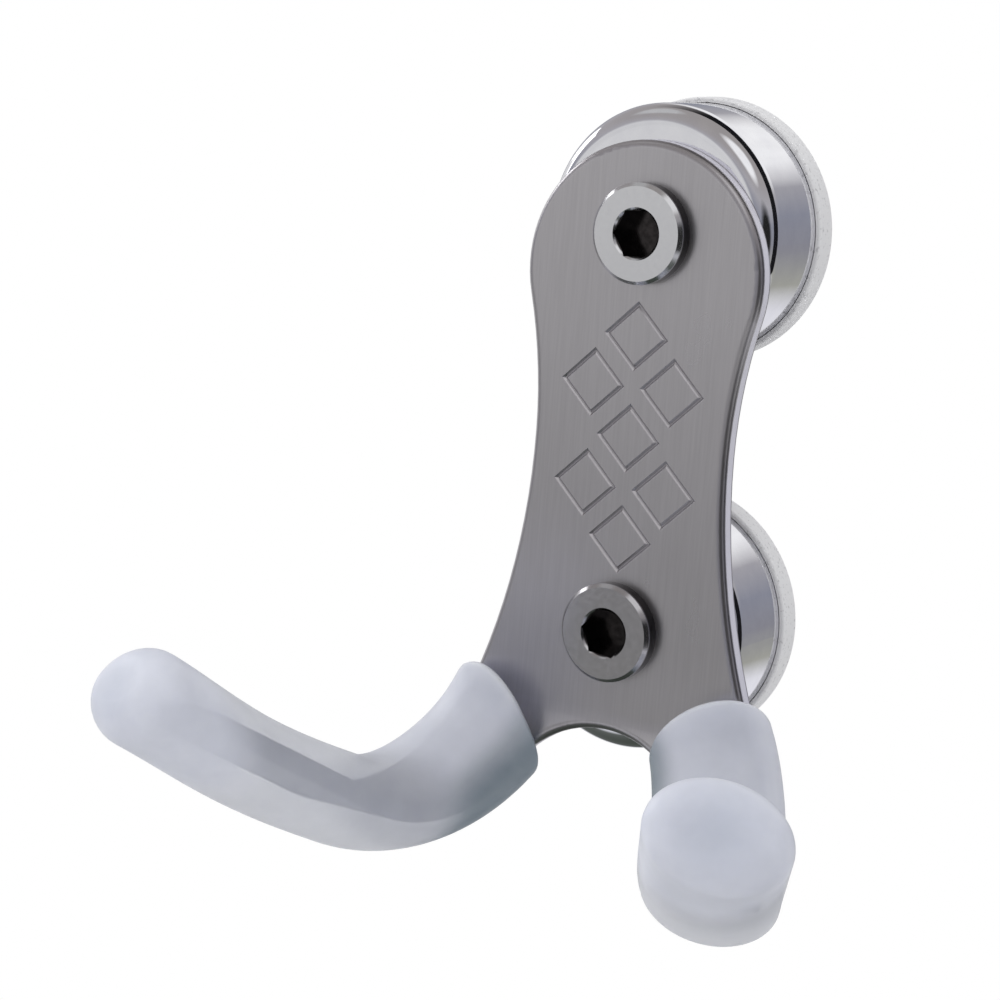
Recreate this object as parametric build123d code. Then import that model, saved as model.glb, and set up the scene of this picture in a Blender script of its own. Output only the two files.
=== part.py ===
# Double wall hook held by two pot magnets.
# The wall is the plane y = 0, the hook faces -Y and +Z is up. The origin is where the upper screw's
# axis meets the wall. One bent steel sheet carries two splayed arms in soft sleeves.
from build123d import *
import math
import os

# Steel sheet
sheet = 2.0               # thickness
screw_pitch = 40.0        # upper screw to lower screw
lobe_radius = 13.1        # round top of the plate
top_rise = 9.1            # top of the plate above the upper screw
waist_half = 10.9         # half width at the narrowest place
waist_drop = 21.0         # that place below the upper screw
flare_radius = 72.0       # concave side between the waist and the arm
notch_radius = 11.5       # arch between the two arms
notch_drop = 50.4         # top of the arch below the upper screw
edge_round = 0.8          # softened front edge

# Arms, cut from the same sheet and bent forward round one level axis
splay = 23.3              # slant of an arm in the flat sheet, from vertical, in degrees
arm_width = 9.6
bend_drop = 48.4          # start of the bend below the upper screw
bend_inner_radius = 10.3
bend_angle = 120.5
arm_end = 21.0            # straight length after the bend
arm_corner = 2.5          # rounded corners at the arm's end
arm_lap = 0.8             # plate past the end of its flared side, joined to the arm

# Ornament of diamonds in rows of one and two
ornament_drop = 20.4      # middle diamond below the upper screw
diamond_half_width = 3.25
diamond_half_height = 3.15
column_pitch = 4.45       # from the middle line to a diamond of a pair
row_pitch = 5.1
groove_width = 0.5
groove_depth = 0.25

# Sleeves, pulled over the arms. Places run along the arm from the start of the bend.
sleeve_half_width = 6.7
collar_half_depth = 4.35
bend_half_depth = 4.9     # fuller in the middle of the bend
arm_half_depth = 4.75     # in the middle of the straight end
tip_half_depth = 5.0
bend_shift = -0.5         # soft rubber cuts the corner inside the bend
arm_shift = 1.1           # and hangs below the straight end
right_collar = 0.8        # place of each collar
left_collar = 4.1
right_collar_lean = (35.0, 10.0)  # its front and its outer side sit higher, in degrees
left_collar_lean = (40.0, 3.0)
tip_wall = 6.8            # rubber past the end of the steel
tip_round = 3.3           # rounded end

# Pot magnets
cup_radius = 12.7
cup_height = 12.25
cup_shoulder = 2.2        # rounding of the front edge
cup_wall = 2.1
magnet_height = 6.4
magnet_recess = 0.1       # magnet's face below the cup's rim
pad_wall = 0.55           # soft cap round the cup's rim
pad_face = 0.7
pad_lip = 2.2             # depth of the cap over the cup's side
pad_round = 0.4

# Screws
shank_radius = 3.0
shank_length = 7.2
head_radius = 5.0
head_height = 1.8
head_chamfer = 0.35
socket_across_flats = 4.5
socket_depth = 2.6
socket_lead = 0.3         # countersink at the socket's mouth
upper_socket_turn = -3.0
lower_socket_turn = 6.0

# Fits
soft_fit = 0.05           # rubber on steel
hole_fit = 0.2            # screw in the plate's hole, on the radius
thread_fit = 0.1          # screw in the cup's hole, on the radius
magnet_fit = 0.15         # magnet in the cup, on the radius

# Planes of the stack, from the wall to the front
cup_back = -pad_face
cup_front = cup_back - cup_height
plate_front = cup_front - sheet
plate_middle = cup_front - sheet / 2
magnet_back = cup_back - magnet_recess
magnet_front = magnet_back - magnet_height

# Middle line of the right arm, on the sheet's middle surface
slant = math.radians(splay)
along = Vector(math.sin(slant), 0, -math.cos(slant))
across = Vector(math.cos(slant), 0, math.sin(slant))
flare_end = Vector(
    waist_half + flare_radius * (1 - math.cos(slant)),
    plate_middle,
    -waist_drop - flare_radius * math.sin(slant),
)
flare_end_middle = flare_end - across * (arm_width / 2)
flare_place = -(flare_end_middle.Z + bend_drop) / math.cos(slant)
bend_start = flare_end_middle - along * flare_place
arm_root = max(flare_place, 0)
bend_radius = bend_inner_radius + sheet / 2
bend_turn = math.radians(bend_angle)
bend_length = bend_radius * bend_turn / math.cos(slant)
arm_length = bend_length + arm_end
sleeve_length = arm_length + tip_wall
bend_half = bend_length / 2
arm_half = bend_length + arm_end / 2


def arm_plane(place):
    """Plane square to the right arm at a distance from the start of the bend.

    Its x runs across the arm, towards the other arm, and its y points away from the bend's axis.
    """
    curved = min(max(place, 0), bend_length)
    straight = place - curved
    turn = curved * math.cos(slant) / bend_radius
    sideways = Vector(math.sin(slant), 0, 0)
    forward = sideways + Vector(0, -math.sin(turn), -math.cos(turn)) * math.cos(slant)
    outward = Vector(0, math.cos(turn), -math.sin(turn))
    bent = Vector(0, -bend_radius * (1 - math.cos(turn)), -bend_radius * math.sin(turn))
    point = bend_start + sideways * curved + bent + forward * straight
    return Plane(origin=point, x_dir=outward.cross(forward), z_dir=forward)


def arm_helix(start):
    """Middle line of the right arm from a place on the bend to the bend's end."""
    turn = start * math.cos(slant) / bend_radius
    advance = bend_radius * math.tan(slant)
    axis = Plane(
        origin=(bend_start.X + advance * turn, plate_middle - bend_radius, -bend_drop),
        x_dir=(0, math.cos(turn), -math.sin(turn)),
        z_dir=(1, 0, 0),
    )
    return axis * Helix(2 * math.pi * advance, advance * (bend_turn - turn), bend_radius, lefthand=True)


def both(shape):
    """A right-hand shape with its mirror image."""
    return shape + mirror(shape, Plane.YZ)


# Bent sheet


def bent_sheet(grow=0.0):
    """Wide sheet bent to a J in side view, to be trimmed to the hook's outline."""
    flat = Line((plate_middle, 2 * lobe_radius), (plate_middle, -bend_drop))
    bend = JernArc(flat @ 1, flat % 1, bend_radius, -bend_angle)
    end = Line(bend @ 1, bend @ 1 + (bend % 1) * (arm_end + arm_width))
    profile = Plane.YZ * trace(Curve() + [flat, bend, end], sheet + 2 * grow)
    return extrude(profile, amount=4 * lobe_radius, both=True)


def plate_outline(grow=0.0):
    """Front view of the plate down to the root of each arm."""
    lobe = Vector(0, top_rise - lobe_radius)
    rise = waist_drop + lobe.Y
    side_radius = (waist_half**2 + rise**2 - lobe_radius**2) / (2 * (lobe_radius - waist_half))
    side = Vector(waist_half + side_radius, -waist_drop)
    top = lobe + Vector(0, lobe_radius + grow)
    join = lobe + (side - lobe).normalized() * (lobe_radius + grow)
    waist = Vector(waist_half + grow, -waist_drop)
    root = Vector(across.X, across.Z)
    flare = Vector(flare_end.X, flare_end.Z) + root * grow
    outer = flare + Vector(along.X, along.Z) * (arm_root + arm_lap - flare_place)
    inner = outer - root * (arm_width + 2 * grow)
    right = Curve() + [
        RadiusArc(top, join, lobe_radius + grow),
        RadiusArc(join, waist, -(side_radius - grow)),
        RadiusArc(waist, flare, -(flare_radius - grow)),
        Line(flare, outer),
        Line(outer, inner),
        Line(inner, (0, inner.Y)),
    ]
    notch = Pos(0, -notch_drop - notch_radius) * Circle(notch_radius - grow)
    return make_face(both(right)) - notch


def plate_blank(grow=0.0):
    """The sheet trimmed to the plate's outline, without the arms."""
    prism = extrude(Plane.XZ * plate_outline(grow), amount=4 * sheet, both=True)
    return bent_sheet(grow) & Pos(0, plate_middle, 0) * prism


def arm(grow=0.0):
    """The sheet trimmed to the right arm by a slanted band that winds round the bend's axis."""
    depth = 4 * sheet
    section = Rectangle(arm_width + 2 * grow, depth)
    curved = sweep(arm_plane(arm_root) * section, path=arm_helix(arm_root), is_frenet=True)
    straight = extrude(arm_plane(bend_length) * section, amount=arm_end + grow)
    upright = straight.edges().filter_by(Axis((0, 0, 0), arm_plane(bend_length).y_dir))
    corners = upright.sort_by_distance(arm_plane(arm_length).origin)[:2]
    return bent_sheet(grow) & (curved + fillet(corners, arm_corner))


def outline_edges(blank):
    """Curved edges of the plate's outline on its front surface, without the arms' roots."""
    axis_y = plate_middle - bend_radius

    def on_front(edge):
        middle = edge @ 0.5
        if middle.Z > -bend_drop:
            return abs(middle.Y - plate_front) < 0.01
        at_root = abs(abs(middle.X) - flare_end_middle.X) < arm_width / 4
        from_axis = math.hypot(middle.Y - axis_y, middle.Z + bend_drop)
        return not at_root and abs(from_axis - bend_inner_radius) < 0.01

    return [e for e in blank.edges() if e.geom_type != GeomType.LINE and on_front(e)]


def rhomb(grow):
    """Diamond whose sides lie the given distance outside the ornament's line."""
    step = grow * math.sqrt(2)
    wide = diamond_half_width + step
    high = diamond_half_height + step
    return Polygon((wide, 0), (0, high), (-wide, 0), (0, -high), align=None)


def diamond_groove():
    """V-groove round one diamond, which keeps its middle level with the plate."""
    surface = Plane(origin=(0, plate_front, 0), x_dir=(1, 0, 0), z_dir=(0, 1, 0))
    bottom = surface.offset(groove_depth) * rhomb(0)
    pit = loft([surface * rhomb(groove_width / 2), bottom])
    island = loft([surface * rhomb(-groove_width / 2), bottom])
    return pit - island


def hook_plate():
    blank = plate_blank()
    steel = fillet(outline_edges(blank), edge_round) + both(arm())
    for z in (0, -screw_pitch):
        steel -= Pos(0, 0, z) * disc(shank_radius + hole_fit, plate_front - 1, cup_front + 1)
    groove = diamond_groove()
    for row, columns in ((2, (0,)), (1, (-1, 1)), (0, (0,)), (-1, (-1, 1)), (-2, (0,))):
        for column in columns:
            steel -= Pos(column * column_pitch, 0, row * row_pitch - ornament_drop) * groove
    return steel


# Soft sleeve


def along_sleeve(place, collar, bend, arm_middle, tip):
    """Value at a place on the sleeve, eased between its values at four stations."""
    stations = ((0, collar), (bend_half, bend), (arm_half, arm_middle), (sleeve_length, tip))
    for (start, low), (end, high) in zip(stations, stations[1:]):
        if place <= end:
            share = max(place - start, 0) / (end - start)
            return low + (high - low) * (1 - math.cos(math.pi * share)) / 2
    return tip


def sleeve_section(place):
    """Oval section of the right sleeve, square to the arm."""
    deep = along_sleeve(place, collar_half_depth, bend_half_depth, arm_half_depth, tip_half_depth)
    shift = along_sleeve(place, 0, bend_shift, arm_shift, 0)
    return arm_plane(place) * Pos(0, shift) * Ellipse(sleeve_half_width, deep)


def sleeve_body(collar_place, lean):
    """Oval rod along the right arm, cut off by the leaning collar and rounded at the tip."""
    lead = loft([sleeve_section(-2 * sleeve_half_width), sleeve_section(0)])
    bend = sweep(
        [sleeve_section(bend_length * i / 4) for i in range(5)],
        path=arm_helix(0),
        multisection=True,
        is_frenet=True,
    )
    end = loft([sleeve_section(place) for place in (bend_length, arm_half, sleeve_length)])
    end = fillet(end.edges().sort_by_distance(arm_plane(sleeve_length).origin)[0], tip_round)
    front, outer = lean
    collar = Plane(arm_plane(collar_place) * Rotation(front, -outer, 0))
    return split(lead + bend, collar, keep=Keep.TOP) + end


def right_hand_sleeve(collar_place, lean):
    """Sleeve for the right arm, with a slot for the steel."""
    return sleeve_body(collar_place, lean) - plate_blank(soft_fit) - arm(soft_fit)


# Pot magnet, on the upper screw's axis


def disc(radius, front, back):
    """Round disc on the upper screw's axis between two planes."""
    face = Plane(origin=(0, back, 0), x_dir=(1, 0, 0), z_dir=(0, -1, 0))
    return extrude(face * Circle(radius), amount=back - front)


def front_edge(shape):
    return shape.edges().sort_by(Axis.Y)[0]


def back_edge(shape):
    return shape.edges().sort_by(Axis.Y)[-1]


def magnet_cup():
    shell = disc(cup_radius, cup_front, cup_back)
    shell = fillet(front_edge(shell), cup_shoulder)
    shell -= disc(cup_radius - cup_wall, magnet_front, cup_back)
    return shell - disc(shank_radius + thread_fit, cup_front, cup_back)


def magnet():
    return disc(cup_radius - cup_wall - magnet_fit, magnet_front, magnet_back)


def pad():
    """Soft cap stretched over the cup's rim."""
    inside = cup_radius + soft_fit
    lip = cup_back - pad_lip
    cap = disc(inside + pad_wall, lip, 0)
    cap = fillet(back_edge(cap), pad_round)
    cap = fillet(front_edge(cap), pad_wall / 2)
    return cap - disc(inside, lip, cup_back)


def screw(socket_turn):
    """Flat-headed hex socket screw, with a plain shank for the thread."""
    head_front = plate_front - head_height
    head = disc(head_radius, head_front, plate_front)
    head = chamfer(front_edge(head), head_chamfer)
    mouth = Plane(origin=(0, head_front, 0), x_dir=(1, 0, 0), z_dir=(0, 1, 0))
    hexagon = Rotation(0, 0, socket_turn) * RegularPolygon(socket_across_flats / 2, 6, major_radius=False)
    socket = extrude(mouth * hexagon, amount=socket_depth)
    corner_radius = socket_across_flats / 2 / math.cos(math.pi / 6)
    lead = extrude(mouth * Circle(corner_radius), amount=socket_lead, taper=45)
    return head + disc(shank_radius, plate_front, plate_front + shank_length) - socket - lead


lower = Pos(0, 0, -screw_pitch)
nodes = {
    "hook_plate": hook_plate(),
    "right_sleeve": right_hand_sleeve(right_collar, right_collar_lean),
    "left_sleeve": mirror(right_hand_sleeve(left_collar, left_collar_lean), Plane.YZ),
    "upper_screw": screw(upper_socket_turn),
    "lower_screw": lower * screw(lower_socket_turn),
    "upper_magnet_cup": magnet_cup(),
    "lower_magnet_cup": lower * magnet_cup(),
    "upper_magnet": magnet(),
    "lower_magnet": lower * magnet(),
    "upper_pad": pad(),
    "lower_pad": lower * pad(),
}
os.makedirs("parts", exist_ok=True)
for name, shape in nodes.items():
    export_step(shape, f"parts/{name}.step")
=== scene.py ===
# Magnetic wall hook: finishes, soft sleeves, light and camera. Lengths are in metres.
import bpy
import math
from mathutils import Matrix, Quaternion, Vector


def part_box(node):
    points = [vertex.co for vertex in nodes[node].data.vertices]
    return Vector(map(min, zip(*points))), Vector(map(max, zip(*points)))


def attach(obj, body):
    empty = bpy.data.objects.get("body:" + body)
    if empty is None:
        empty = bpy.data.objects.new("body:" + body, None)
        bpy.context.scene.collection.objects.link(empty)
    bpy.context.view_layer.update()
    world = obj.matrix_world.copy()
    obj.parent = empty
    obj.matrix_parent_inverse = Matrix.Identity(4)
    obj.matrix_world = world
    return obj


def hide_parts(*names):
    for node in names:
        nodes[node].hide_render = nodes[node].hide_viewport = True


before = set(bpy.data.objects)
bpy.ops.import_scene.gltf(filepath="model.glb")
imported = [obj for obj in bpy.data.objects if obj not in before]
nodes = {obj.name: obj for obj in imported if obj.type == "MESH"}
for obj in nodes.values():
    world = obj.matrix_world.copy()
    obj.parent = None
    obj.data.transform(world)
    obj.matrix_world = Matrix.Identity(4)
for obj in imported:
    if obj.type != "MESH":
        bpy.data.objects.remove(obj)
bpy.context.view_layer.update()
mm = 0.001

# Camera, at the photograph's angle
camera_place = Vector((0.1325, -0.2599, 0.0232))
camera_aim = Vector((-0.0098, -0.0223, -0.0273))
camera_roll = math.radians(4.24)
camera_lens = 102.18      # millimetres, as is the sensor
camera_sensor = 36

# Studio light
light_from = (-0.62, -0.20, 0.76)     # side from which the room is brightest for matt surfaces
matt_levels = (0.56, 1.16)            # room light on them, from the dark side and the bright one
room_tones = [            # height of a direction, from straight down at 0 to straight up at 1, and its tone
    (0.0, (0.06, 0.07, 0.06)),
    (0.16, (0.12, 0.13, 0.12)),
    (0.25, (0.85, 0.85, 0.90)),
    (0.28, (0.80, 0.80, 0.84)),
    (0.33, (0.38, 0.38, 0.34)),
    (0.44, (0.27, 0.27, 0.30)),
    (0.56, (0.27, 0.28, 0.33)),
    (0.68, (0.42, 0.41, 0.43)),
    (0.80, (0.38, 0.36, 0.36)),
    (1.0, (0.36, 0.34, 0.33)),
]
soft_cards = [            # name, tone, centre, width and height, and the point that the card faces
    ("back_card", 1.0, (0.05, 0.6, 0.46), (1.2, 0.56), (0, 0, 0)),
    ("front_card", 0.72, (-0.28, -0.5, 0.05), (1.0, 0.38), (0, 0, -0.02)),
    ("left_card", 0.8, (-0.55, 0.2, 0), (0.6, 0.6), (0, 0.2, 0)),
    ("top_card", 0.55, (-0.37, -0.13, 0.6), (0.4, 0.4), (0, 0, 0)),
    ("top_right_card", 1.0, (0.28, -0.32, 0.5), (0.5, 0.5), (0, 0, 0)),
    ("right_card", 0.02, (0.55, -0.33, -0.05), (0.7, 0.7), (0, 0, 0)),
]
card_steepness = 2.5      # how fast a soft card fills in from its edge
floor_corners = 64
arch_steps = 40
arch_fade = (-0.35, -0.05)     # places along x between which the dark arch sets in

# Right arm's middle line, as in the solid
splay = math.radians(23.3)
bend_radius = 11.3 * mm
bend_turn = math.radians(120.5)
bend_start = Vector((11.081, -13.95, -48.4)) * mm
arm_end = 21.0 * mm
bend_length = bend_radius * bend_turn / math.cos(splay)

# Sleeves, as in the solid
tip_wall = 6.8 * mm
sleeve_length = bend_length + arm_end + tip_wall
sleeve_half_width = 6.7 * mm
half_depths = (4.35 * mm, 4.9 * mm, 4.75 * mm, 5.0 * mm)     # collar, bend, middle of the arm, tip
shifts = (0, -0.5 * mm, 1.1 * mm, 0)                         # away from the bend's axis
stations = (0, bend_length / 2, bend_length + arm_end / 2, sleeve_length)
right_collar = (0.8 * mm, math.radians(35), math.radians(10))     # place, front lean, outer lean
left_collar = (4.1 * mm, math.radians(40), math.radians(3))
tip_round = 3.3 * mm

# Sleeve skins
collar_round = 0.5 * mm
ring_points = 72
rim_rings = 5
body_rings = 80
tip_rings = 10
halvings = 30             # steps in the search for the collar's edge

# Places where the steel's finish and colour change: a painted reflection on the plate's side faces, painted
# shade on the arms inside the sleeves, in the screws' sockets and round their heads
plate_front = -14.95 * mm
pale_from = (0.65 * mm, 0.9 * mm)      # depth behind the plate's front where the painted reflection on its side face sets in
pale_to = (1.75 * mm, 1.95 * mm)       # depth where it ends
arm_front = -20 * mm                   # forward of this the steel inside the sleeves is painted dark, as painted shade
arm_fade = 7 * mm
# From this depth behind a head's face, its side is painted black as painted shade.
head_chamfer = 0.35 * mm
socket_reach = 2.62 * mm               # from a screw's axis to just past the corners of its socket
socket_mouth = 0.25 * mm               # depth from which the socket is painted black, as painted shade in the recess

# Places where the sleeves' finish changes, and where painted shade and a painted shadow lie
arm_cloud = 0.56          # how much the silicone hides, along the arm
collar_cloud = 0.80
flank_cloud = 0.95
tip_cloud = 0.93
cloud_fade = 6 * mm
collar_front = -22 * mm                # behind this the sleeve is stretched over the bend
tip_start = -43.5 * mm                 # forward of this the silicone grows thick
steel_end_reach = 5.5 * mm             # about a tip's middle, where the end of the steel shows through as a painted shadow
web_lean = 0.55                        # sideways run of the sleeves' inner flanks for each length of fall
web_reach = (-17 * mm, -22.5 * mm)     # from the arm's middle to its inner flank, measured across that lean

# Range that most of the noise keeps to
noise_low = 0.3
noise_high = 0.7


# Node helpers


def new_material(name):
    mat = bpy.data.materials.new(name)
    mat.use_nodes = True
    return mat, mat.node_tree, mat.node_tree.nodes["Principled BSDF"]


def noise(tree, stretch, detail=3.0):
    """Noise over the object's own coordinates, with the number of grains per metre along x, y and z."""
    coords = tree.nodes.new("ShaderNodeTexCoord")
    mapping = tree.nodes.new("ShaderNodeMapping")
    mapping.inputs["Scale"].default_value = stretch
    tree.links.new(coords.outputs["Object"], mapping.inputs["Vector"])
    texture = tree.nodes.new("ShaderNodeTexNoise")
    texture.inputs["Scale"].default_value = 1.0
    texture.inputs["Detail"].default_value = detail
    texture.inputs["Roughness"].default_value = 0.6
    tree.links.new(mapping.outputs["Vector"], texture.inputs["Vector"])
    return texture.outputs["Fac"]


def ramp(tree, value, stops):
    """Colours along a value, as pairs of place and colour."""
    node = tree.nodes.new("ShaderNodeValToRGB")
    for element, (place, colour) in zip(node.color_ramp.elements, stops):
        element.position = place
        element.color = (*colour, 1)
    for place, colour in stops[2:]:
        node.color_ramp.elements.new(place).color = (*colour, 1)
    tree.links.new(value, node.inputs["Fac"])
    return node.outputs["Color"]


def mottle(tree, cloud, dark, light):
    """Colour that noise varies between two tones."""
    return ramp(tree, cloud, [(noise_low, dark), (noise_high, light)])


def spread(tree, value, low, high):
    """Noise stretched to a range of plain numbers."""
    node = tree.nodes.new("ShaderNodeMapRange")
    node.inputs["From Min"].default_value = noise_low
    node.inputs["From Max"].default_value = noise_high
    node.inputs["To Min"].default_value = low
    node.inputs["To Max"].default_value = high
    tree.links.new(value, node.inputs["Value"])
    return node.outputs["Result"]


def rise(tree, value, start, end):
    """Smooth rise from 0 to 1 as a value goes from a start to an end."""
    node = tree.nodes.new("ShaderNodeMapRange")
    node.interpolation_type = "SMOOTHSTEP"
    node.inputs["From Min"].default_value = start
    node.inputs["From Max"].default_value = end
    tree.links.new(value, node.inputs["Value"])
    return node.outputs["Result"]


def along_axis(tree, axis, start, end):
    """Rises from 0 to 1 between two places on one of the object's axes."""
    coords = tree.nodes.new("ShaderNodeTexCoord")
    split = tree.nodes.new("ShaderNodeSeparateXYZ")
    tree.links.new(coords.outputs["Object"], split.inputs["Vector"])
    return rise(tree, split.outputs[axis], start, end)


def between(tree, share, first, second):
    """Number that goes from a first value to a second as a share goes from 0 to 1."""
    node = tree.nodes.new("ShaderNodeMapRange")
    node.inputs["To Min"].default_value = first
    node.inputs["To Max"].default_value = second
    tree.links.new(share, node.inputs["Value"])
    return node.outputs["Result"]


def on_either_arm(tree, operation, vector):
    """Measure between a vector and a place whose numbers are made positive, so that both arms count alike."""
    coords = tree.nodes.new("ShaderNodeTexCoord")
    folded = tree.nodes.new("ShaderNodeVectorMath")
    folded.operation = "ABSOLUTE"
    tree.links.new(coords.outputs["Object"], folded.inputs[0])
    node = tree.nodes.new("ShaderNodeVectorMath")
    node.operation = operation
    node.inputs[1].default_value = vector
    tree.links.new(folded.outputs["Vector"], node.inputs[0])
    return node.outputs["Value"]


def towards_web(tree):
    """Rises from 0 to 1 towards the flank of either arm that faces the notch."""
    across = on_either_arm(tree, "DOT_PRODUCT", (1, 0, -web_lean))
    return rise(tree, across, web_reach[0], web_reach[1])


def near_tip(tree):
    """Rises from 0 to 1 towards the middle of either sleeve's closed end."""
    middle = [abs(c) for c in arm_frame(sleeve_length)[0]]
    return rise(tree, on_either_arm(tree, "DISTANCE", middle), steel_end_reach, 0)


def within_reach(tree, axis_z, reach):
    """1 nearer than a reach to a screw's axis, which runs along y, and 0 elsewhere."""
    coords = tree.nodes.new("ShaderNodeTexCoord")
    from_axis = tree.nodes.new("ShaderNodeMapping")
    from_axis.inputs["Location"].default_value = (0, 0, -axis_z)
    from_axis.inputs["Scale"].default_value = (1, 0, 1)
    tree.links.new(coords.outputs["Object"], from_axis.inputs["Vector"])
    distance = tree.nodes.new("ShaderNodeVectorMath")
    distance.operation = "LENGTH"
    tree.links.new(from_axis.outputs["Vector"], distance.inputs[0])
    node = tree.nodes.new("ShaderNodeMath")
    node.operation = "LESS_THAN"
    node.inputs[1].default_value = reach
    tree.links.new(distance.outputs["Value"], node.inputs[0])
    return node.outputs[0]


def join(tree, operation, first, second):
    node = tree.nodes.new("ShaderNodeMath")
    node.operation = operation
    tree.links.new(first, node.inputs[0])
    tree.links.new(second, node.inputs[1])
    return node.outputs[0]


def mix_colours(tree, share, first, second):
    node = tree.nodes.new("ShaderNodeMix")
    node.data_type = "RGBA"
    tree.links.new(share, node.inputs["Factor"])
    tree.links.new(first, node.inputs["A"])
    tree.links.new(second, node.inputs["B"])
    return node.outputs["Result"]


def bump(tree, shader, height, distance, strength, lip=0.0):
    """Small relief, with sharp edges eased over the width of a lip."""
    node = tree.nodes.new("ShaderNodeBump")
    if lip:
        ease = tree.nodes.new("ShaderNodeBevel")
        ease.samples = 8
        ease.inputs["Radius"].default_value = lip
        tree.links.new(ease.outputs["Normal"], node.inputs["Normal"])
    node.inputs["Distance"].default_value = distance
    node.inputs["Strength"].default_value = strength
    tree.links.new(height, node.inputs["Height"])
    tree.links.new(node.outputs["Normal"], shader.inputs["Normal"])


# Materials


def brushed_plate():
    """Stainless sheet with fine upright brush lines, matt sheared edges painted pale as a painted reflection,
    and arms inside the sleeves painted dark as painted shade.
    """
    mat, tree, shader = new_material("brushed_plate")
    lines = noise(tree, (5000, 5000, 130), detail=2)
    cloud = noise(tree, (90, 90, 60))
    steel = ramp(tree, lines, [(0.25, (0.47, 0.455, 0.475)), (0.75, (0.52, 0.505, 0.525))])
    # Painted shade: the arms inside the sleeves are painted as dark steel.
    painted_shade_steel = ramp(tree, lines, [(0.25, (0.10, 0.11, 0.14)), (0.75, (0.14, 0.15, 0.18))])
    # Painted reflection: the plate's matt side faces are painted pale violet.
    painted_edge_reflection = mottle(tree, cloud, (0.70, 0.69, 0.78), (0.80, 0.79, 0.88))
    gripped = along_axis(tree, "Y", arm_front, arm_front - arm_fade)
    behind = along_axis(tree, "Y", plate_front + pale_from[0], plate_front + pale_from[1])
    before = along_axis(tree, "Y", plate_front + pale_to[1], plate_front + pale_to[0])
    edge = join(tree, "MULTIPLY", behind, before)
    face = mix_colours(tree, gripped, steel, painted_shade_steel)
    tree.links.new(mix_colours(tree, edge, face, painted_edge_reflection), shader.inputs["Base Color"])
    tree.links.new(between(tree, edge, 1.0, 0.2), shader.inputs["Metallic"])
    tree.links.new(spread(tree, cloud, 0.27, 0.33), shader.inputs["Roughness"])
    bump(tree, shader, lines, 0.02 * mm, 0.03, lip=0.12 * mm)
    return mat


def screw_steel_with_painted_shade(name, dark, light):
    """Polished screw head with faint mottling, painted black as shade in its socket and round its side."""
    low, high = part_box(name)
    front = low[1]
    mat, tree, shader = new_material(name + "_steel")
    cloud = noise(tree, (1500, 1500, 1500))
    shader.inputs["Metallic"].default_value = 1.0
    steel = mottle(tree, cloud, dark, light)
    # Painted shade: black in the socket's recess and round the head's side.
    black = mottle(tree, cloud, (0.02, 0.018, 0.018), (0.05, 0.045, 0.045))
    inside = within_reach(tree, (low[2] + high[2]) / 2, socket_reach)
    deep = along_axis(tree, "Y", front + socket_mouth / 2, front + socket_mouth)
    socket = join(tree, "MULTIPLY", inside, deep)
    side = along_axis(tree, "Y", front + head_chamfer, front + 2 * head_chamfer)
    painted_shade_mask = join(tree, "MAXIMUM", socket, side)
    tree.links.new(mix_colours(tree, painted_shade_mask, steel, black), shader.inputs["Base Color"])
    tree.links.new(spread(tree, cloud, 0.15, 0.19), shader.inputs["Roughness"])
    return mat


def bright_nickel():
    """Mirror plating with a trace of handling marks."""
    mat, tree, shader = new_material("bright_nickel")
    cloud = noise(tree, (400, 400, 400))
    shader.inputs["Metallic"].default_value = 1.0
    plating = mottle(tree, cloud, (0.80, 0.80, 0.84), (0.86, 0.86, 0.89))
    tree.links.new(plating, shader.inputs["Base Color"])
    tree.links.new(spread(tree, cloud, 0.03, 0.07), shader.inputs["Roughness"])
    return mat


def frosted_silicone():
    """Milky sleeve that lets the steel inside show, least at collar and tip, with painted shade on the inner
    flank next to the notch and a painted shadow of the steel's end in each tip.
    """
    mat, tree, shader = new_material("frosted_silicone")
    cloud = noise(tree, (250, 250, 250))
    milk = mottle(tree, cloud, (0.62, 0.64, 0.72), (0.67, 0.69, 0.77))
    # Painted shade: slate on the inner flank next to the notch.
    painted_shade_slate = mottle(tree, cloud, (0.20, 0.24, 0.28), (0.24, 0.28, 0.32))
    # Painted shadow: the steel's end seen through each tip.
    painted_steel_end_shadow = mottle(tree, cloud, (0.54, 0.57, 0.66), (0.58, 0.61, 0.70))
    gripped = along_axis(tree, "Y", collar_front - cloud_fade, collar_front)
    thick = along_axis(tree, "Y", tip_start, tip_start - cloud_fade)
    shaded_web = join(tree, "MULTIPLY", gripped, towards_web(tree))
    tipped = mix_colours(tree, near_tip(tree), milk, painted_steel_end_shadow)
    tree.links.new(mix_colours(tree, shaded_web, tipped, painted_shade_slate), shader.inputs["Base Color"])
    tip = between(tree, thick, arm_cloud, tip_cloud)
    collar = between(tree, gripped, arm_cloud, collar_cloud)
    flank = between(tree, shaded_web, arm_cloud, flank_cloud)
    ends = join(tree, "MAXIMUM", tip, collar)
    tree.links.new(join(tree, "MAXIMUM", ends, flank), shader.inputs["Alpha"])
    shader.inputs["IOR"].default_value = 1.41
    tree.links.new(spread(tree, cloud, 0.38, 0.44), shader.inputs["Roughness"])
    shader.inputs["Subsurface Weight"].default_value = 0.6
    shader.inputs["Subsurface Radius"].default_value = (1.0, 1.0, 1.1)
    shader.inputs["Subsurface Scale"].default_value = 2.0 * mm
    return mat


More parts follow.
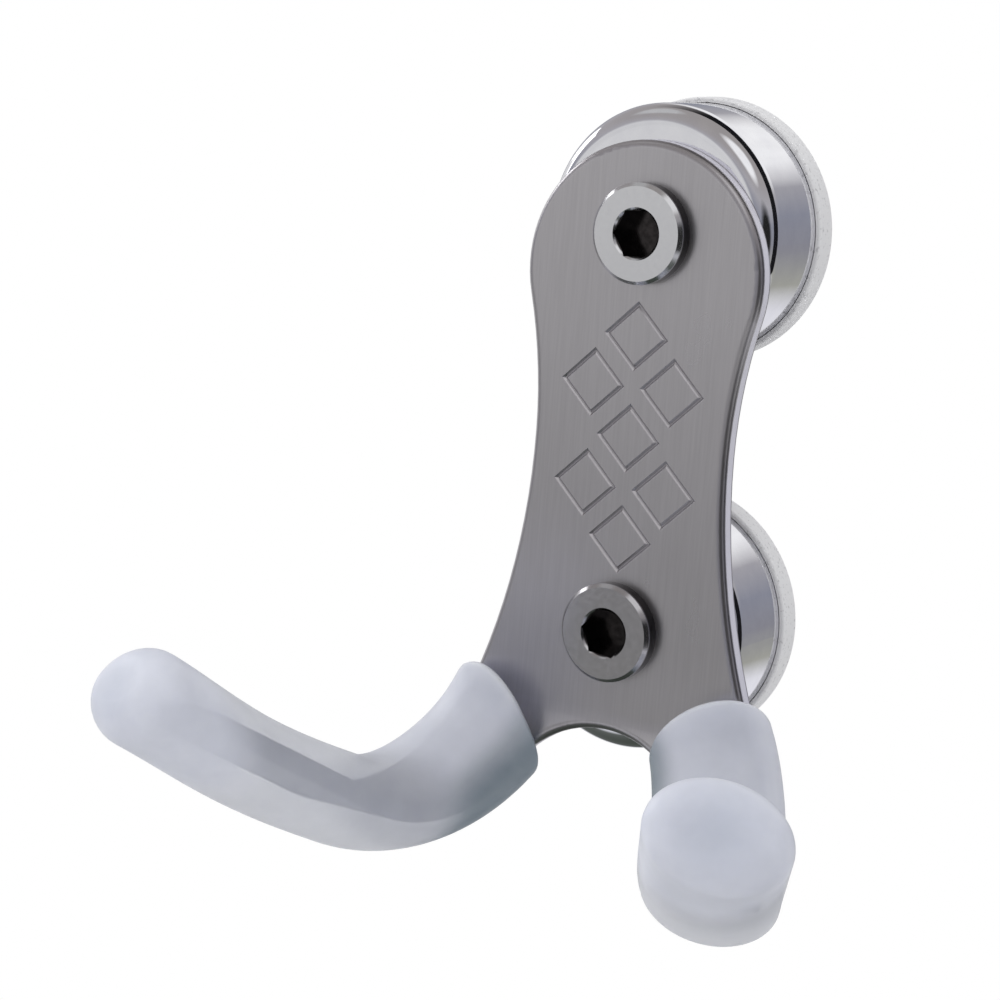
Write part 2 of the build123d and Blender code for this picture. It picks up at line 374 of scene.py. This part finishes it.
def speckled_silicone():
    """Pale pad with tiny bubbles."""
    mat, tree, shader = new_material("speckled_silicone")
    specks = noise(tree, (2600, 2600, 2600), detail=2)
    colour = ramp(tree, specks, [(0.30, (0.64, 0.64, 0.66)), (0.42, (0.89, 0.89, 0.91))])
    tree.links.new(colour, shader.inputs["Base Color"])
    shader.inputs["IOR"].default_value = 1.15
    shader.inputs["Transmission Weight"].default_value = 0.15
    tree.links.new(spread(tree, specks, 0.30, 0.50), shader.inputs["Roughness"])
    bump(tree, shader, specks, 0.1 * mm, 0.3)
    return mat


def dress(names, mat):
    for name in names:
        nodes[name].data.materials.clear()
        nodes[name].data.materials.append(mat)


# Sleeves


def arm_frame(place):
    """Point on the right arm's middle line, with the directions across, outward and along."""
    curved = min(max(place, 0), bend_length)
    turn = curved * math.cos(splay) / bend_radius
    sideways = Vector((math.sin(splay), 0, 0))
    along = sideways + Vector((0, -math.sin(turn), -math.cos(turn))) * math.cos(splay)
    outward = Vector((0, math.cos(turn), -math.sin(turn)))
    bent = Vector((0, math.cos(turn) - 1, -math.sin(turn))) * bend_radius
    point = bend_start + sideways * curved + bent + along * (place - curved)
    return point, outward.cross(along), outward, along


def along_sleeve(place, values):
    """Value at a place on the sleeve, eased between its values at the stations."""
    for i in range(len(stations) - 1):
        if place <= stations[i + 1]:
            share = max(place - stations[i], 0) / (stations[i + 1] - stations[i])
            return values[i] + (values[i + 1] - values[i]) * (1 - math.cos(math.pi * share)) / 2
    return values[-1]


def sleeve_point(place, angle, inset=0.0):
    """Point on the right sleeve's oval skin, drawn in by an inset at its rounded ends."""
    point, across, outward, along = arm_frame(place)
    side = (sleeve_half_width - inset) * math.cos(angle)
    deep = (along_sleeve(place, half_depths) - inset) * math.sin(angle)
    return point + across * side + outward * (deep + along_sleeve(place, shifts))


def collar_start(collar, angle):
    """Place where a line along the skin meets the leaning plane of the collar."""
    place, front, outer = collar
    point, across, outward, along = arm_frame(place)
    normal = along - outward * math.tan(front) - across * (math.tan(outer) / math.cos(front))
    low = place - sleeve_half_width
    high = place + sleeve_half_width
    for i in range(halvings):
        middle = (low + high) / 2
        if (sleeve_point(middle, angle) - point).dot(normal) < 0:
            low = middle
        else:
            high = middle
    return low


def sleeve_rings(collar):
    """Rings from the rim of the collar along the arm and over the tip."""
    angles = [2 * math.pi * i / ring_points for i in range(ring_points)]
    starts = [collar_start(collar, angle) for angle in angles]
    rings = []
    for i in range(rim_rings):
        lift = math.pi / 2 * i / rim_rings
        step = collar_round * (1 - math.cos(lift))
        inset = collar_round * (1 - math.sin(lift))
        rings.append([sleeve_point(s + step, a, inset) for s, a in zip(starts, angles)])
    body_end = sleeve_length - tip_round
    for i in range(body_rings + 1):
        ring = []
        for s, a in zip(starts, angles):
            first = s + collar_round
            ring.append(sleeve_point(first + (body_end - first) * i / body_rings, a))
        rings.append(ring)
    for i in range(1, tip_rings + 1):
        lift = math.pi / 2 * i / tip_rings
        place = body_end + tip_round * math.sin(lift)
        rings.append([sleeve_point(place, a, tip_round * (1 - math.cos(lift))) for a in angles])
    return rings


def make_sleeve(name, side, collar, mat):
    """Closed skin of a sleeve, mirrored for the left arm."""
    rings = sleeve_rings(collar)
    verts = [Vector((p.x * side, p.y, p.z)) for ring in rings for p in ring]
    n = ring_points
    faces = []
    for r in range(len(rings) - 1):
        for i in range(n):
            j = (i + 1) % n
            faces.append((r * n + i, r * n + j, (r + 1) * n + j, (r + 1) * n + i))
    last = (len(rings) - 1) * n
    faces.append(tuple(reversed(range(n))))
    faces.append(tuple(range(last, last + n)))
    if side > 0:
        faces = [tuple(reversed(f)) for f in faces]
    mesh = bpy.data.meshes.new(name)
    mesh.from_pydata(verts, [], faces)
    mesh.polygons.foreach_set("use_smooth", [True] * len(mesh.polygons))
    mesh.materials.append(mat)
    piece = bpy.data.objects.new(name, mesh)
    bpy.context.collection.objects.link(piece)
    return piece


# Stage


def card(name, colour):
    """Matt studio card that shows its own tone in mirrors."""
    mat, tree, shader = new_material(name)
    darker = tuple(0.9 * c for c in colour)
    tone = mottle(tree, noise(tree, (6, 6, 6)), darker, colour)
    tree.links.new(tone, shader.inputs["Emission Color"])
    shader.inputs["Emission Strength"].default_value = 1.0
    shader.inputs["Base Color"].default_value = (0, 0, 0, 1)
    shader.inputs["Specular IOR Level"].default_value = 0.0
    return mat, tree, shader


def soft_card(name, colour, size):
    """Card that fades out towards an oval edge."""
    mat, tree, shader = card(name, colour)
    coords = tree.nodes.new("ShaderNodeTexCoord")
    mapping = tree.nodes.new("ShaderNodeMapping")
    mapping.inputs["Scale"].default_value = (2 / size[0], 2 / size[1], 1)
    tree.links.new(coords.outputs["Object"], mapping.inputs["Vector"])
    fade = tree.nodes.new("ShaderNodeTexGradient")
    fade.gradient_type = "SPHERICAL"
    tree.links.new(mapping.outputs["Vector"], fade.inputs["Vector"])
    tree.links.new(between(tree, fade.outputs["Fac"], 0.0, card_steepness), shader.inputs["Alpha"])
    return mat


def fading_black():
    """Black card that fades out towards the left."""
    mat, tree, shader = card("black_card", (0.01, 0.01, 0.012))
    tree.links.new(along_axis(tree, "X", arch_fade[0], arch_fade[1]), shader.inputs["Alpha"])
    return mat


def stage_piece(name, verts, faces, mat):
    """Studio card outside the picture that only mirrors see."""
    mesh = bpy.data.meshes.new(name)
    mesh.from_pydata(verts, [], faces)
    mesh.materials.append(mat)
    piece = bpy.data.objects.new(name, mesh)
    bpy.context.collection.objects.link(piece)
    piece.visible_camera = False
    piece.visible_diffuse = False
    piece.visible_transmission = False
    piece.visible_shadow = False
    return piece


def flat_card(name, tone, centre, size, aim):
    """Soft grey card that faces a point."""
    wide = size[0] / 2
    high = size[1] / 2
    corners = [(-wide, -high, 0), (wide, -high, 0), (wide, high, 0), (-wide, high, 0)]
    piece = stage_piece(name, corners, [(0, 1, 2, 3)], soft_card(name, (tone, tone, tone), size))
    piece.location = centre
    piece.rotation_mode = "QUATERNION"
    piece.rotation_quaternion = (Vector(aim) - Vector(centre)).to_track_quat("Z", "Y")


def arch_card(name, radius, near, far, start, end, mat):
    """Band bent to an arch over the hook, behind the wall's plane, between two angles from +X."""
    verts = []
    for i in range(arch_steps + 1):
        angle = math.radians(start + (end - start) * i / arch_steps)
        for y in (near, far):
            verts.append((radius * math.cos(angle), y, radius * math.sin(angle)))
    faces = [(2 * i, 2 * i + 1, 2 * i + 3, 2 * i + 2) for i in range(arch_steps)]
    stage_piece(name, verts, faces, mat)


def pale_floor(radius, level):
    """Round floor well below the hook, which mirrors don't see."""
    mat, tree, shader = new_material("pale_floor")
    tone = noise(tree, (20, 20, 20))
    colour = mottle(tree, tone, (0.84, 0.84, 0.84), (0.88, 0.88, 0.88))
    tree.links.new(colour, shader.inputs["Base Color"])
    tree.links.new(spread(tree, tone, 0.8, 0.9), shader.inputs["Roughness"])
    turns = [2 * math.pi * i / floor_corners for i in range(floor_corners)]
    verts = [(radius * math.cos(t), radius * math.sin(t), level) for t in turns]
    mesh = bpy.data.meshes.new("floor")
    mesh.from_pydata(verts, [], [tuple(range(floor_corners))])
    mesh.materials.append(mat)
    floor = bpy.data.objects.new("floor", mesh)
    bpy.context.collection.objects.link(floor)
    floor.visible_glossy = False


def area_light(name, place, aim, size, power):
    """Square lamp that faces a point."""
    lamp = bpy.data.lights.new(name, "AREA")
    lamp.shape = "SQUARE"
    lamp.size = size
    lamp.energy = power
    obj = bpy.data.objects.new(name, lamp)
    bpy.context.collection.objects.link(obj)
    obj.location = place
    obj.rotation_mode = "QUATERNION"
    obj.rotation_quaternion = (Vector(aim) - Vector(place)).to_track_quat("-Z", "Y")


def studio_world():
    """Room that is graded in mirrors, brighter from one side on matt surfaces, and plain white otherwise."""
    world = bpy.data.worlds.new("studio")
    bpy.context.scene.world = world
    world.use_nodes = True
    tree = world.node_tree
    background = tree.nodes["Background"]
    coords = tree.nodes.new("ShaderNodeTexCoord")
    split = tree.nodes.new("ShaderNodeSeparateXYZ")
    tree.links.new(coords.outputs["Generated"], split.inputs["Vector"])
    height = tree.nodes.new("ShaderNodeMapRange")
    height.inputs["From Min"].default_value = -1
    height.inputs["From Max"].default_value = 1
    tree.links.new(split.outputs["Z"], height.inputs["Value"])
    room = ramp(tree, height.outputs["Result"], room_tones)
    rays = tree.nodes.new("ShaderNodeLightPath")
    colour = tree.nodes.new("ShaderNodeMix")
    colour.data_type = "RGBA"
    colour.inputs["A"].default_value = (1, 1, 1, 1)
    tree.links.new(rays.outputs["Is Glossy Ray"], colour.inputs["Factor"])
    tree.links.new(room, colour.inputs["B"])
    tree.links.new(colour.outputs["Result"], background.inputs["Color"])
    facing = tree.nodes.new("ShaderNodeVectorMath")
    facing.operation = "DOT_PRODUCT"
    facing.inputs[1].default_value = light_from
    tree.links.new(coords.outputs["Generated"], facing.inputs[0])
    matt = tree.nodes.new("ShaderNodeMapRange")
    matt.inputs["From Min"].default_value = -1
    matt.inputs["To Min"].default_value = matt_levels[0]
    matt.inputs["To Max"].default_value = matt_levels[1]
    tree.links.new(facing.outputs["Value"], matt.inputs["Value"])
    level = tree.nodes.new("ShaderNodeMix")
    level.inputs["A"].default_value = 1.0
    tree.links.new(rays.outputs["Is Diffuse Ray"], level.inputs["Factor"])
    tree.links.new(matt.outputs["Result"], level.inputs["B"])
    tree.links.new(level.outputs["Result"], background.inputs["Strength"])


def set_camera():
    data = bpy.data.cameras.new("camera")
    data.lens = camera_lens
    data.sensor_width = camera_sensor
    camera = bpy.data.objects.new("camera", data)
    bpy.context.collection.objects.link(camera)
    camera.location = camera_place
    look = (camera_aim - camera_place).to_track_quat("-Z", "Y")
    camera.rotation_mode = "QUATERNION"
    camera.rotation_quaternion = look @ Quaternion((0, 0, 1), camera_roll)
    bpy.context.scene.camera = camera


# The hook
dress(["hook_plate"], brushed_plate())
# The two screws are one steel; the upper is painted lighter and the lower darker, as painted light and shade.
dress(["upper_screw"], screw_steel_with_painted_shade("upper_screw", (0.65, 0.65, 0.67), (0.69, 0.69, 0.71)))
dress(["lower_screw"], screw_steel_with_painted_shade("lower_screw", (0.48, 0.47, 0.49), (0.52, 0.51, 0.53)))
dress(["upper_magnet_cup", "lower_magnet_cup", "upper_magnet", "lower_magnet"], bright_nickel())
dress(["upper_pad", "lower_pad"], speckled_silicone())
silicone = frosted_silicone()
for side, node, collar in ((1, "right_sleeve", right_collar), (-1, "left_sleeve", left_collar)):
    skin = make_sleeve(node + "_skin", side, collar, silicone)
    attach(skin, "root")
    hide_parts(node)

# The studio
bpy.context.scene.view_settings.view_transform = "Standard"
studio_world()
pale_floor(radius=0.5, level=-0.45)
area_light("key", place=(-0.56, 0.06, 0.14), aim=(0, -0.03, -0.04), size=0.25, power=0.5)
arch_card("arch_card", radius=0.5, near=0.08, far=0.40, start=-25, end=135, mat=fading_black())
for name, tone, centre, size, aim in soft_cards:
    flat_card(name, tone, centre, size, aim)
set_camera()
